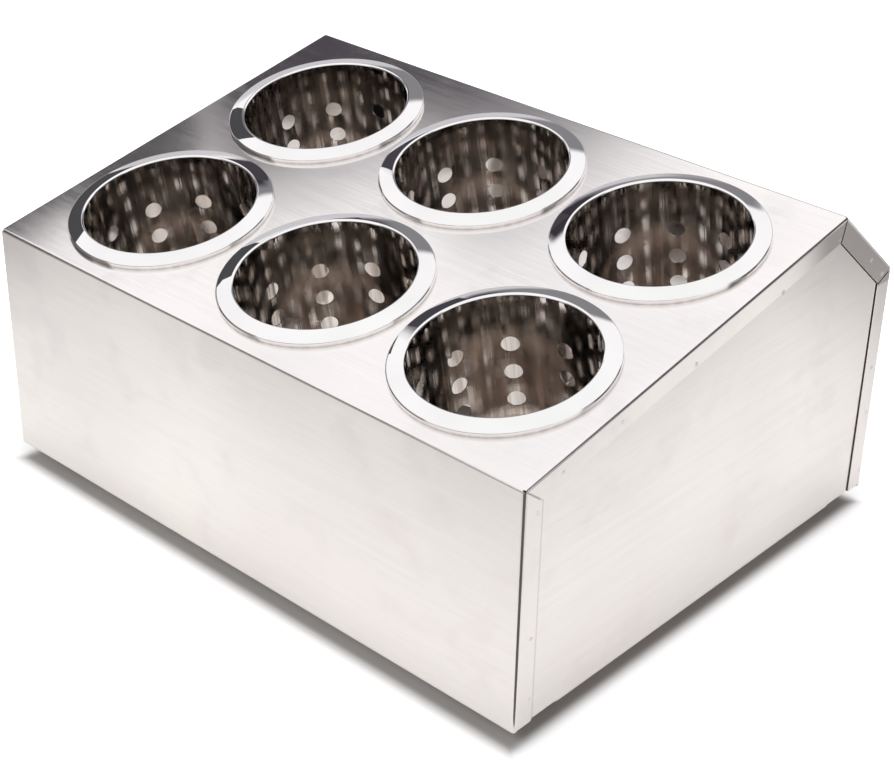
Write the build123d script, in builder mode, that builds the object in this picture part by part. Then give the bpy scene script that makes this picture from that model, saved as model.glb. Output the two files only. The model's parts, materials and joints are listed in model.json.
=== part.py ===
from build123d import *

import os
from math import cos, floor, radians, sin, tan

# Angled countertop cutlery holder: a folded sheet housing with perforated cylinders that lift out.
# Millimetres, +Z up, front towards -Y, origin on the table under the middle of the housing.

# Layout of the cylinders on the sloping deck
columns = ("left", "middle", "right")
rows = ("front", "rear")
column_gap = 6.7
row_gap = 7.5
side_margin = 11.85
front_margin = 9.0
rear_margin = 10.0
deck_tilt = 11.25

# Turn of each cylinder, left to right, where it stands loose in its hole
turns = {"front": (-4.0, 90.0, 4.0), "rear": (8.4, 0.0, -8.4)}

# Cylinder, drawn from one sheet, with a domed rim that stands on the deck
rim_width = 9.525
rim_edge_height = 2.8
rim_edge_inside_radius = 0.5
rim_slope = 13.0
lip_inside_radius = 0.5
bore_diameter = 95.25
cylinder_depth = 135.5
cylinder_wall = 0.7
cylinder_draft = 1.3
bottom_inside_radius = 6.0
seat_gap = 0.05

# Perforations of the cylinder
hole_diameter = 9.5
hole_columns = 10
hole_row_pitch = 17.3
first_row_depth = 26.0
last_row_margin = 22.0
drain_ring_diameter = 48.0
drain_holes = 6

# Housing sheet
sheet = 1.0
bend_inside_radius = 1.0
bevel_length = 71.8
bevel_angle = 41.4
base_clearance = 9.0
cylinder_clearance = 1.2
end_flange = 12.5
mitre_gap = 1.0
front_return = 33.0
end_return = 20.0
panel_clearance = 0.2

# Feet and their fasteners
foot_height = 10.0
foot_top_diameter = 18.0
foot_bottom_diameter = 16.0
foot_chamfer = 0.8
foot_end_inset = 27.0
foot_return_margin = 1.0
foot_web = 4.0
screw_diameter = 4.0
screw_clearance = 0.2
screw_head_diameter = 7.6
screw_head_height = 2.6
screw_head_chamfer = 0.8
screw_head_clearance = 0.6
nut_across_flats = 7.0
nut_height = 3.2
nut_clearance = 0.05
screw_overhang = 1.0

# Sizes that follow
tilt = radians(deck_tilt)
bevel = radians(bevel_angle)
draft = tan(radians(cylinder_draft))
rim_diameter = bore_diameter + 2 * rim_width
rim_radius = rim_diameter / 2
bore_radius = bore_diameter / 2
bend_radius = bend_inside_radius + sheet
bottom_radius = bore_radius + cylinder_wall - cylinder_depth * draft
column_pitch = rim_diameter + column_gap
row_pitch = rim_diameter + row_gap

width = (len(columns) - 1) * column_pitch + rim_diameter + 2 * side_margin
deck_length = front_margin + (len(rows) - 1) * row_pitch + rim_diameter + rear_margin
depth = deck_length * cos(tilt) + bevel_length * cos(bevel)
first_row = front_margin + rim_radius
front_height = (
    base_clearance
    + cylinder_depth * cos(tilt)
    + bottom_radius * sin(tilt)
    - first_row * sin(tilt)
)
base = foot_height
front = -depth / 2
back = depth / 2
end = width / 2
peak_y = front + deck_length * cos(tilt)
peak_z = base + front_height + deck_length * sin(tilt)
bevel_foot_z = peak_z - bevel_length * sin(bevel)

outline = [
    (front, base),
    (front, base + front_height),
    (peak_y, peak_z),
    (back, bevel_foot_z),
    (back, base),
]
deck = Plane(
    origin=(0, front, base + front_height),
    x_dir=(1, 0, 0),
    z_dir=(0, -sin(tilt), cos(tilt)),
)
seats = {
    f"cylinder_{row}_{column}": Pos(
        (i - (len(columns) - 1) / 2) * column_pitch,
        first_row + j * row_pitch,
    )
    * Rot(0, 0, turns[row][i])
    for j, row in enumerate(rows)
    for i, column in enumerate(columns)
}
foot_inset = front_return - foot_return_margin - foot_top_diameter / 2
feet = {
    "foot_front_left": (-end + foot_end_inset, front + foot_inset),
    "foot_front_right": (end - foot_end_inset, front + foot_inset),
    "foot_rear_left": (-end + foot_end_inset, back - foot_inset),
    "foot_rear_right": (end - foot_end_inset, back - foot_inset),
}


def mitre_end(before, corner, after):
    """End of the mitre at a corner of the outline, just past the inner edges of the two end flanges."""
    to_before = (Vector(before) - Vector(corner)).normalized()
    to_after = (Vector(after) - Vector(corner)).normalized()
    reach = (end_flange + mitre_gap) / to_before.cross(to_after).length
    return Vector(corner) + (to_before + to_after) * reach


os.makedirs("parts", exist_ok=True)

# Housing wrap: front, deck, rear bevel and back in one sheet, with flanges turned over both ends
with BuildPart() as housing_wrap:
    with BuildSketch(Plane.YZ.offset(-end)):
        with BuildLine():
            Polyline(*outline, close=True)
        make_face()
    extrude(amount=width)
    fillet(housing_wrap.edges(), radius=bend_radius)
    with BuildSketch(Plane.YZ.offset(-end + sheet)):
        with BuildLine():
            Polyline(*outline, close=True)
        make_face()
        offset(amount=-sheet, kind=Kind.INTERSECTION, mode=Mode.REPLACE)
    extrude(amount=width - 2 * sheet, mode=Mode.SUBTRACT)
    fillet(housing_wrap.edges(Select.LAST), radius=bend_inside_radius)

    # Open bottom between the front and rear returns, which stop short of the end panels
    with BuildSketch(Plane.XY.offset(base)):
        with Locations((0, 0)):
            Rectangle(width - 2 * bend_radius, depth - 2 * front_return)
        with Locations((-end, 0), (end, 0)):
            Rectangle(2 * (bend_radius + sheet), depth - 2 * bend_radius)
    extrude(amount=bend_radius, mode=Mode.SUBTRACT)

    # Ends: a window inside the flanges, and a slit along each mitre
    for side in (-1, 1):
        with BuildSketch(Plane.YZ.offset(side * end)):
            with BuildLine():
                Polyline(*outline, close=True)
            make_face()
            offset(amount=-end_flange, kind=Kind.INTERSECTION, mode=Mode.REPLACE)
            with Locations((0, base)):
                Rectangle(depth - 2 * end_flange, 2 * (end_flange + sheet))
            with BuildLine():
                for before, corner, after in zip(outline, outline[1:], outline[2:]):
                    Line(corner, mitre_end(before, corner, after))
            trace(line_width=mitre_gap)
        extrude(amount=-side * bend_radius, mode=Mode.SUBTRACT)

    # Deck holes
    with BuildSketch(deck):
        with Locations(*seats.values()):
            Circle(bore_radius + cylinder_wall + cylinder_clearance)
    extrude(amount=-2 * sheet, mode=Mode.SUBTRACT)

    # Screw holes of the feet
    with BuildSketch(Plane.XY.offset(base)):
        with Locations(*feet.values()):
            Circle(screw_diameter / 2 + screw_clearance)
    extrude(amount=sheet, mode=Mode.SUBTRACT)
housing_wrap.part.label = "housing_wrap"
export_step(housing_wrap.part, "parts/housing_wrap.step")

# End panels: flat sheets behind the end flanges, with a return along the bottom edge
panel_inset = bend_radius + panel_clearance
panel_outer = end - sheet
return_length = depth - 2 * (front_return + panel_clearance)
with BuildPart() as right_end_panel:
    with BuildSketch(Plane.YZ.offset(panel_outer)):
        with BuildLine():
            Polyline(*outline, close=True)
        make_face()
        offset(amount=-panel_inset, kind=Kind.INTERSECTION, mode=Mode.REPLACE)
    extrude(amount=-sheet)
    with BuildSketch(Plane.XZ.offset(-return_length / 2)):
        with BuildLine():
            FilletPolyline(
                (panel_outer, base + end_return),
                (panel_outer, base),
                (panel_outer - end_return, base),
                radius=bend_radius,
            )
            offset(amount=sheet, side=Side.RIGHT)
        make_face()
    extrude(amount=return_length)
right_end_panel.part.label = "right_end_panel"
export_step(right_end_panel.part, "parts/right_end_panel.step")

with BuildPart() as left_end_panel:
    mirror(right_end_panel.part, about=Plane.YZ)
left_end_panel.part.label = "left_end_panel"
export_step(left_end_panel.part, "parts/left_end_panel.step")

# One cylinder about its own axis, with the deck at height 0
wall_foot = bore_radius - (cylinder_depth - cylinder_wall) * draft
hole_rows = floor((cylinder_depth - first_row_depth - last_row_margin) / hole_row_pitch) + 1
with BuildPart() as hole_column:
    with BuildSketch(Plane.XZ):
        with Locations((0, -first_row_depth - (hole_rows - 1) * hole_row_pitch / 2)):
            with GridLocations(1, hole_row_pitch, 1, hole_rows):
                Circle(hole_diameter / 2)
    extrude(amount=rim_radius)

with BuildPart() as cylinder:
    with BuildSketch(Plane.XZ):
        with BuildLine():
            FilletPolyline(
                (rim_radius, seat_gap),
                (rim_radius, rim_edge_height),
                (bore_radius, rim_edge_height + rim_width * tan(radians(rim_slope))),
                (wall_foot, cylinder_wall - cylinder_depth),
                (0, cylinder_wall - cylinder_depth),
                radius=(
                    rim_edge_inside_radius + cylinder_wall,
                    lip_inside_radius + cylinder_wall,
                    bottom_inside_radius,
                ),
            )
            offset(amount=cylinder_wall, side=Side.LEFT)
        make_face()
    revolve(axis=Axis.Z)
    with PolarLocations(0, hole_columns):
        add(hole_column.part, mode=Mode.SUBTRACT)
    with BuildSketch(Plane.XY.offset(-cylinder_depth)):
        Circle(hole_diameter / 2)
        with PolarLocations(drain_ring_diameter / 2, drain_holes):
            Circle(hole_diameter / 2)
    extrude(amount=cylinder_wall, mode=Mode.SUBTRACT)

# The cylinders in their seats on the deck
for name, seat in seats.items():
    with BuildPart(Plane(deck.location * seat)) as seated:
        add(cylinder.part)
    seated.part.label = name
    export_step(seated.part, f"parts/{name}.step")

# Feet, tapered and recessed for the screw heads
recess = foot_height - foot_web
for name, place in feet.items():
    with BuildPart() as foot:
        with BuildSketch(Plane.XY):
            with Locations(place):
                Circle(foot_bottom_diameter / 2)
        with BuildSketch(Plane.XY.offset(foot_height)):
            with Locations(place):
                Circle(foot_top_diameter / 2)
        loft()
        chamfer(foot.edges().group_by(Axis.Z)[0], length=foot_chamfer)
        with BuildSketch(Plane.XY):
            with Locations(place):
                Circle(screw_head_diameter / 2 + screw_head_clearance)
        extrude(amount=recess, mode=Mode.SUBTRACT)
        with BuildSketch(Plane.XY.offset(recess)):
            with Locations(place):
                Circle(screw_diameter / 2 + screw_clearance)
        extrude(amount=foot_web, mode=Mode.SUBTRACT)
    foot.part.label = name
    export_step(foot.part, f"parts/{name}.step")

# Pan-head screws, up through the feet and the returns of the housing
with BuildPart() as foot_screws:
    with BuildSketch(Plane.XY.offset(recess)):
        with Locations(*feet.values()):
            Circle(screw_head_diameter / 2)
    extrude(amount=-screw_head_height)
    chamfer(foot_screws.edges().group_by(Axis.Z)[0], length=screw_head_chamfer)
    with BuildSketch(Plane.XY.offset(recess)):
        with Locations(*feet.values()):
            Circle(screw_diameter / 2)
    extrude(amount=foot_web + sheet + nut_height + screw_overhang)
foot_screws.part.label = "foot_screws"
export_step(foot_screws.part, "parts/foot_screws.step")

# Hexagon nuts on the returns, inside the housing
with BuildPart() as foot_nuts:
    with BuildSketch(Plane.XY.offset(base + sheet)):
        with Locations(*feet.values()):
            RegularPolygon(nut_across_flats / 2, 6, major_radius=False)
            Circle(screw_diameter / 2 + nut_clearance, mode=Mode.SUBTRACT)
    extrude(amount=nut_height)
foot_nuts.part.label = "foot_nuts"
export_step(foot_nuts.part, "parts/foot_nuts.step")
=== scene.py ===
"""Looks of an angled countertop cutlery holder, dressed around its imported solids.

A folded housing of satin sheet carries six polished, perforated cylinders that lift out.
Metres, +Z up, front towards -Y, origin on the table under the middle of the housing.
"""

import json
import logging
import math
from abc import ABC, abstractmethod
from dataclasses import dataclass, field
from enum import Enum
from typing import Sequence

import bmesh
import bpy
from mathutils import Matrix, Vector


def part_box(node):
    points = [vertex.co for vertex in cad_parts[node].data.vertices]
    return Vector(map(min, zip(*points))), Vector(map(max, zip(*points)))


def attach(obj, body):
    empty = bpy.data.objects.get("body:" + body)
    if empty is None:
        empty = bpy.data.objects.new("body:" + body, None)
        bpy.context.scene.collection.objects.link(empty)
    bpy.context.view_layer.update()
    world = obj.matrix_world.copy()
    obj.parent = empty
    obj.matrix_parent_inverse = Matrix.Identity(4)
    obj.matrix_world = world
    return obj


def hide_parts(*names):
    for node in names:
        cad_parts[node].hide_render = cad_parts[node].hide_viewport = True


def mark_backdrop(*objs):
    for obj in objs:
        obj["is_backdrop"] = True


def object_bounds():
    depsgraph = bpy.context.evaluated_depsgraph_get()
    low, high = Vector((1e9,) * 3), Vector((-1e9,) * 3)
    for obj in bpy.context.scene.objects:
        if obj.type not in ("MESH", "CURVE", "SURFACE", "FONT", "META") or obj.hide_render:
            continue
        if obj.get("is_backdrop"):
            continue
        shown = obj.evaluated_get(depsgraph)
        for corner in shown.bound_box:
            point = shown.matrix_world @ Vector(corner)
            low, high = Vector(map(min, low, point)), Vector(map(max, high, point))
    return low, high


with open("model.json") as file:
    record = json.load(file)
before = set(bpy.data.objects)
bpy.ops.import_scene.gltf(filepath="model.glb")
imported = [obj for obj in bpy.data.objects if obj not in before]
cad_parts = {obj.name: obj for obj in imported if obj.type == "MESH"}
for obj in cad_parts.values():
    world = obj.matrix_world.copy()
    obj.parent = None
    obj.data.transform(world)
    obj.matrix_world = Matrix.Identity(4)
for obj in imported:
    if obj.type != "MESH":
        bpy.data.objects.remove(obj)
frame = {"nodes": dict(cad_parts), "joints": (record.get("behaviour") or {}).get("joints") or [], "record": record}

LOG = logging.getLogger("cutlery_holder")
MM = 0.001
HOUSING = "housing"
CUP_PLACE = "cup_place"
Colour = tuple[float, float, float, float]
Point2 = tuple[float, float]
Point3 = tuple[float, float, float]
Ring = list[bmesh.types.BMVert]
WHITE: Colour = (1.0, 1.0, 1.0, 1.0)


class Slot(Enum):
    """The record's material slots that new pieces take."""

    SATIN_SHEET = "satin_sheet"
    POLISHED_STEEL = "polished_steel"


class Flange(Enum):
    """The four flanges lapped over each end panel, named for the panel they turn from."""

    FRONT = "front"
    DECK = "deck"
    BEVEL = "bevel"
    BACK = "back"


class Wiring:
    """Adds nodes to one node tree and joins them."""

    def __init__(self, tree: bpy.types.NodeTree) -> None:
        """Start on a tree.

        Args:
            tree: The shader or geometry tree that gets the nodes.
        """
        self.tree = tree

    def feed(self, socket: bpy.types.NodeSocket, value: object) -> None:
        """Link a socket or node to an input, or set the input's own value.

        Args:
            socket: The input to feed.
            value: A socket, a node whose first output is meant, or a plain value.
        """
        if isinstance(value, bpy.types.Node):
            value = value.outputs[0]
        if isinstance(value, bpy.types.NodeSocket):
            self.tree.links.new(value, socket)
        else:
            socket.default_value = value

    def add(self, kind: str, inputs: dict | None = None, **settings: object) -> bpy.types.Node:
        """Add one node.

        Args:
            kind: The node's type name.
            inputs: Values or sources by the input's name or index.
            settings: The node's own properties.

        Returns:
            The new node.
        """
        node = self.tree.nodes.new(kind)
        for name, value in settings.items():
            setattr(node, name, value)
        for key, value in (inputs or {}).items():
            self.feed(node.inputs[key], value)
        return node

    def math(self, operation: str, *values: object, clamp: bool = False) -> bpy.types.NodeSocket:
        """Add one sum on numbers.

        Args:
            operation: The Math node's operation.
            values: Its inputs in order.
            clamp: Whether the result is held between 0 and 1.

        Returns:
            The result's socket.
        """
        node = self.add("ShaderNodeMath", dict(enumerate(values)), operation=operation, use_clamp=clamp)
        return node.outputs[0]

    def vector(self, operation: str, *values: object) -> bpy.types.NodeSocket:
        """Add one sum on vectors.

        Args:
            operation: The Vector Math node's operation.
            values: Its inputs in order.

        Returns:
            The result's socket: the number for a dot product or a length, or else the vector.
        """
        node = self.add("ShaderNodeVectorMath", dict(enumerate(values)), operation=operation)
        return node.outputs["Value" if operation in ("DOT_PRODUCT", "LENGTH") else "Vector"]

    def span(self, value: object, low: float, high: float, start: float = 0.0, stop: float = 1.0,
             ) -> bpy.types.NodeSocket:
        """Stretch a number from one span to another, held at the ends.

        From 0 to 1 the stretch is even; over any other first span it eases in and out.

        Args:
            value: The number.
            low: Result at the start of the first span.
            high: Result at its stop.
            start: Start of the first span.
            stop: Stop of the first span.

        Returns:
            The result's socket.
        """
        node = self.add("ShaderNodeMapRange", {
            "Value": value, "From Min": start, "From Max": stop, "To Min": low, "To Max": high,
        }, interpolation_type="SMOOTHSTEP" if (start, stop) != (0.0, 1.0) else "LINEAR")
        return node.outputs["Result"]

    def blend(self, share: object, first: object, second: object) -> bpy.types.NodeSocket:
        """Blend two colours.

        Args:
            share: How much of the second colour shows, from 0 to 1.
            first: Colour or source at 0.
            second: Colour or source at 1.

        Returns:
            The colour's socket.
        """
        node = self.add("ShaderNodeMix", {0: share, 6: first, 7: second}, data_type="RGBA")
        return node.outputs[2]

    def mix(self, share: object, first: object, second: object) -> bpy.types.NodeSocket:
        """Mix two numbers.

        Args:
            share: How much of the second number counts, from 0 to 1.
            first: Number or source at 0.
            second: Number or source at 1.

        Returns:
            The number's socket.
        """
        node = self.add("ShaderNodeMix", {0: share, 2: first, 3: second}, data_type="FLOAT")
        return node.outputs[0]

    def noise(self, place: object, scale: object, detail: float = 2.0, roughness: float = 0.5,
              ) -> bpy.types.NodeSocket:
        """Add a smooth noise.

        Args:
            place: Where it is read.
            scale: Waves per metre of place.
            detail: Octaves.
            roughness: Weight of the finer octaves.

        Returns:
            The noise value's socket.
        """
        node = self.add("ShaderNodeTexNoise", {
            "Vector": place, "Scale": scale, "Detail": detail, "Roughness": roughness,
        })
        return node.outputs["Fac"]


@dataclass
class Effects:
    """The surface effects that several finishes share, each one shader node group."""

    fine_noise: Point3 = (1.0, 3.0, 0.65)
    broad_scale: float = 0.17
    broad_share: float = 0.5
    grain_span: Point2 = (0.5, 1.0)
    cloud_span: Point2 = (0.35, 0.65)
    smudge_scale: float = 5.0
    smudge_noise: Point2 = (4.0, 0.6)
    smudge_span: Point2 = (0.5, 0.72)
    hair_turns: tuple[Point3, ...] = ((0.3, 0.5, 0.4), (-0.9, 0.7, 1.3))
    hair_stretch: Point3 = (0.06, 1.0, 1.0)
    hair_octaves: float = 1.0
    hair_span: Point2 = (0.7, 0.74)
    grain: bpy.types.NodeTree = field(init=False)
    clouds: bpy.types.NodeTree = field(init=False)
    scratches: bpy.types.NodeTree = field(init=False)

    def __post_init__(self) -> None:
        """Build the groups once."""
        self.grain = self._grain()
        self.clouds = self._clouds()
        self.scratches = self._scratches()

    @staticmethod
    def _group(name: str, inputs: dict[str, str], outputs: Sequence[str],
               ) -> tuple[Wiring, bpy.types.Node, bpy.types.Node]:
        """Start a shader node group.

        Args:
            name: The group's name.
            inputs: Socket types by input name.
            outputs: Names of its number outputs.

        Returns:
            The group's wiring, its input node and its output node.
        """
        tree = bpy.data.node_groups.new(name, "ShaderNodeTree")
        for label, kind in inputs.items():
            tree.interface.new_socket(label, in_out="INPUT", socket_type=kind)
        for label in outputs:
            tree.interface.new_socket(label, in_out="OUTPUT", socket_type="NodeSocketFloat")
        wiring = Wiring(tree)
        return wiring, wiring.add("NodeGroupInput"), wiring.add("NodeGroupOutput")

    def _grain(self) -> bpy.types.NodeTree:
        """Fine rolled or brushed grain, drawn out by unlike scales along the three axes.

        Returns:
            The group: Place and Stretch in, Grain out.
        """
        w, given, out = self._group(
            "drawn_grain", {"Place": "NodeSocketVector", "Stretch": "NodeSocketVector"}, ["Grain"])
        stretched = w.vector("MULTIPLY", given.outputs["Place"], given.outputs["Stretch"])
        fine = w.noise(stretched, *self.fine_noise)
        broad = w.noise(stretched, self.broad_scale)
        both = w.math("MULTIPLY_ADD", broad, self.broad_share, fine)
        w.feed(out.inputs["Grain"], w.span(both, 0.0, 1.0, *self.grain_span))
        return w.tree

    def _clouds(self) -> bpy.types.NodeTree:
        """Soft uneven patches of handling and rolling, and finer smudges.

        Returns:
            The group: Place and Per Metre in, Cloud and Smudge out.
        """
        w, given, out = self._group("handling_clouds", {
            "Place": "NodeSocketVector", "Per Metre": "NodeSocketFloat"}, ["Cloud", "Smudge"])
        place, scale = given.outputs["Place"], given.outputs["Per Metre"]
        w.feed(out.inputs["Cloud"], w.span(w.noise(place, scale), 0.0, 1.0, *self.cloud_span))
        finer = w.noise(place, w.math("MULTIPLY", scale, self.smudge_scale), *self.smudge_noise)
        w.feed(out.inputs["Smudge"], w.span(finer, 0.0, 1.0, *self.smudge_span))
        return w.tree

    def _scratches(self) -> bpy.types.NodeTree:
        """Sparse hair scratches in two directions.

        Returns:
            The group: Place and Per Metre in, Scratch out.
        """
        w, given, out = self._group("hair_scratches", {
            "Place": "NodeSocketVector", "Per Metre": "NodeSocketFloat"}, ["Scratch"])
        place, scale = given.outputs["Place"], given.outputs["Per Metre"]
        hairs = []
        for turn in self.hair_turns:
            turned = w.add("ShaderNodeMapping", {
                "Vector": place, "Rotation": turn, "Scale": self.hair_stretch})
            hair = w.noise(turned, scale, self.hair_octaves)
            hairs.append(w.span(hair, 0.0, 1.0, *self.hair_span))
        w.feed(out.inputs["Scratch"], w.math("MAXIMUM", *hairs))
        return w.tree


@dataclass(frozen=True)
class Finish(ABC):
    """Common start of every finish: a named material with one Principled shader."""

    name: str

    @abstractmethod
    def make(self, effects: Effects) -> bpy.types.Material:
        """Build the material.

        Args:
            effects: The shared effect groups.

        Returns:
            The material.
        """

    def _start(self, metallic: float = 1.0) -> tuple[bpy.types.Material, Wiring, bpy.types.Node]:
        """Make the plain material.

        Args:
            metallic: 1 for a metal, 0 for anything else.

        Returns:
            The material, its wiring and its Principled node.
        """
        material = bpy.data.materials.new(self.name)
        material.use_nodes = True
        shader = material.node_tree.nodes["Principled BSDF"]
        shader.inputs["Metallic"].default_value = metallic
        return material, Wiring(material.node_tree), shader

    @staticmethod
    def _effect(w: Wiring, group: bpy.types.NodeTree, **inputs: object) -> bpy.types.Node:
        """Place a shared effect in a material.

        Args:
            w: The material's wiring.
            group: The effect's node group.
            inputs: Its values, with underscores for spaces.

        Returns:
            The group node.
        """
        node = w.add("ShaderNodeGroup", node_tree=group)
        for label, value in inputs.items():
            w.feed(node.inputs[label.replace("_", " ")], value)
        return node

    @staticmethod
    def _raise(w: Wiring, shader: bpy.types.Node, height: bpy.types.NodeSocket,
               facing: bpy.types.NodeSocket | None = None) -> None:
        """Let a fine height stand on the surface.

        Args:
            w: The material's wiring.
            shader: Its Principled node.
            height: The height in metres.
            facing: The normal that it stands on, if not the surface's own.
        """
        bump = w.add("ShaderNodeBump", {"Height": height, "Distance": 1.0, "Strength": 1.0})
        if facing is not None:
            w.feed(bump.inputs["Normal"], facing)
        w.feed(shader.inputs["Normal"], bump.outputs["Normal"])


@dataclass(frozen=True)
class ShadeLap:
    """A strip of painted shade along one line of an end's outline, in Y and Z, that lies behind or beside a
    flange.
    """

    corner: Point2
    inward: Point2
    width: float
    strength: float = 1.0
    softness: float = 0.12 * MM

    def mask(self, w: Wiring, place: bpy.types.NodeSocket) -> bpy.types.NodeSocket:
        """Mask of the painted shade strip.

        Args:
            w: The material's wiring.
            place: Object coordinates.

        Returns:
            The mask's socket.
        """
        moved = w.vector("SUBTRACT", place, (0.0, *self.corner))
        inside = w.vector("DOT_PRODUCT", moved, (0.0, *self.inward))
        return w.span(inside, self.strength, 0.0, self.width - self.softness, self.width + self.softness)


@dataclass(frozen=True)
class SatinSheet(Finish):
    """Satin stainless sheet: rolled grain, clouds, slight waves, sprung end flanges, dull cut edges darkened by
    painted shade, painted shade beside the flanges.
    """

    grain: Point3
    half_length: float
    sheet: float
    shade_laps: Sequence[ShadeLap] = ()

    # Colour and gloss
    tone: Colour = (0.995, 0.97, 0.94, 1.0)
    cloud_tone: Colour = (0.885, 0.85, 0.852, 1.0)
    # Cut edges: partly their duller cut metal, mostly painted shade at the steps of the flanges.
    cut_edge_shade_tone: Colour = (0.10, 0.095, 0.09, 1.0)
    # Painted shade: the dark tone of the end panel in the slits and beside the flange edges.
    seam_shade_tone: Colour = (0.04, 0.037, 0.035, 1.0)
    cloud_per_metre: float = 5.5
    cloud_share: float = 0.55
    smudge_share: float = 0.40
    grain_share: float = 0.28
    roughness: Point2 = (0.10, 0.15)
    smudge_roughness: float = 0.04
    grain_roughness: float = 0.05
    edge_roughness: float = 0.35

    # Relief
    wave_per_metre: float = 9.0
    wave_octaves: float = 1.0
    wave_height: float = 0.08 * MM
    grain_height: float = 0.002 * MM

    # Cut edges of the end flanges: depths in sheets, the middle of an end, and how far they face it
    cut_band: Point2 = (1.02, 0.4)
    end_middle: Point3 = (0.0, 0.0, 0.09)
    cut_facing: float = -0.2

    # Lean of the outer faces of the end flanges, by places along Y and Z
    skin: float = 0.1
    deck_sag: float = -0.12
    deck_sag_span: Point2 = (-0.135, -0.05)
    peak_rise: float = 0.26
    peak_rise_span: Point2 = (0.045, 0.095)
    bevel_spring: float = 0.12
    bevel_from: Point2 = (0.099, 0.143)
    back_flange_from: float = 0.138

    def make(self, effects: Effects) -> bpy.types.Material:
        """Build the material.

        Args:
            effects: The shared effect groups.

        Returns:
            The material.
        """
        material, w, shader = self._start()
        place = w.add("ShaderNodeTexCoord").outputs["Object"]
        grain = self._effect(w, effects.grain, Place=place, Stretch=self.grain).outputs["Grain"]
        clouds = self._effect(w, effects.clouds, Place=place, Per_Metre=self.cloud_per_metre)
        cloud, smudge = clouds.outputs["Cloud"], clouds.outputs["Smudge"]
        edge = self._cut_edge(w, place)
        # Painted shade of the end panel in the slits and along the flange edges.
        seam_shade: object = 0.0
        for shade_lap in self.shade_laps:
            seam_shade = w.math("MAXIMUM", seam_shade, shade_lap.mask(w, place))

        shade = w.math("MULTIPLY", cloud, self.cloud_share)
        shade = w.math("MULTIPLY_ADD", grain, self.grain_share, shade)
        shade = w.math("MULTIPLY_ADD", smudge, self.smudge_share, shade, clamp=True)
        colour = w.blend(shade, self.tone, self.cloud_tone)
        colour = w.blend(edge, colour, self.cut_edge_shade_tone)
        w.feed(shader.inputs["Base Color"], w.blend(seam_shade, colour, self.seam_shade_tone))

        rough = w.span(cloud, *self.roughness)
        rough = w.math("MULTIPLY_ADD", grain, self.grain_roughness, rough)
        rough = w.math("MULTIPLY_ADD", smudge, self.smudge_roughness, rough)
        rough = w.math("MULTIPLY_ADD", w.math("MAXIMUM", edge, seam_shade), self.edge_roughness, rough)
        w.feed(shader.inputs["Roughness"], rough)

        wave = w.noise(place, self.wave_per_metre, self.wave_octaves)
        relief = w.math("MULTIPLY", wave, self.wave_height)
        relief = w.math("MULTIPLY_ADD", grain, self.grain_height, relief)
        self._raise(w, shader, relief, self._sprung(w, place))
        return material

    def _sprung(self, w: Wiring, place: bpy.types.NodeSocket) -> bpy.types.NodeSocket:
        """Normal of the sheet, with the end flanges of the deck and the bevel sprung a little.

        Args:
            w: The material's wiring.
            place: Object coordinates.

        Returns:
            The normal's socket.
        """
        parts = w.add("ShaderNodeSeparateXYZ", {0: place})
        along = parts.outputs["Y"]
        outer = w.math("GREATER_THAN", w.math("ABSOLUTE", parts.outputs["X"]),
                       self.half_length - self.skin * self.sheet)
        rear = w.math("GREATER_THAN", along, self.bevel_from[0])
        upper = w.math("GREATER_THAN", parts.outputs["Z"], self.bevel_from[1])
        bevel = w.math("MULTIPLY", rear, upper)
        deck = w.math("SUBTRACT", w.math("LESS_THAN", along, self.back_flange_from), bevel, clamp=True)
        lean = w.math("ADD", w.span(along, 0.0, self.deck_sag, *self.deck_sag_span),
                      w.span(along, 0.0, self.peak_rise, *self.peak_rise_span))
        lean = w.math("MULTIPLY_ADD", deck, lean, w.math("MULTIPLY", bevel, self.bevel_spring))
        turn = w.add("ShaderNodeCombineXYZ", {"Z": w.math("MULTIPLY", outer, lean)}).outputs[0]
        flat = w.add("ShaderNodeNewGeometry").outputs["Normal"]
        return w.vector("NORMALIZE", w.vector("ADD", flat, turn))

    def _cut_edge(self, w: Wiring, place: bpy.types.NodeSocket) -> bpy.types.NodeSocket:
        """Mask of the cut edges of the end flanges, which face the middle of the end; their dark tone is partly
        painted shade.

        Args:
            w: The material's wiring.
            place: Object coordinates.

        Returns:
            The mask's socket.
        """
        reach = w.math("ABSOLUTE", w.add("ShaderNodeSeparateXYZ", {0: place}).outputs["X"])
        start, stop = (self.half_length - depth * self.sheet for depth in self.cut_band)
        outer = w.math("MULTIPLY", w.math("GREATER_THAN", reach, start), w.math("LESS_THAN", reach, stop))
        outward = w.vector("MULTIPLY", w.vector("SUBTRACT", place, self.end_middle), (0.0, 1.0, 1.0))
        facing = w.add("ShaderNodeNewGeometry").outputs["Normal"]
        turned = w.vector("DOT_PRODUCT", facing, w.vector("NORMALIZE", outward))
        return w.math("MULTIPLY", outer, w.math("LESS_THAN", turned, self.cut_facing))


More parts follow.
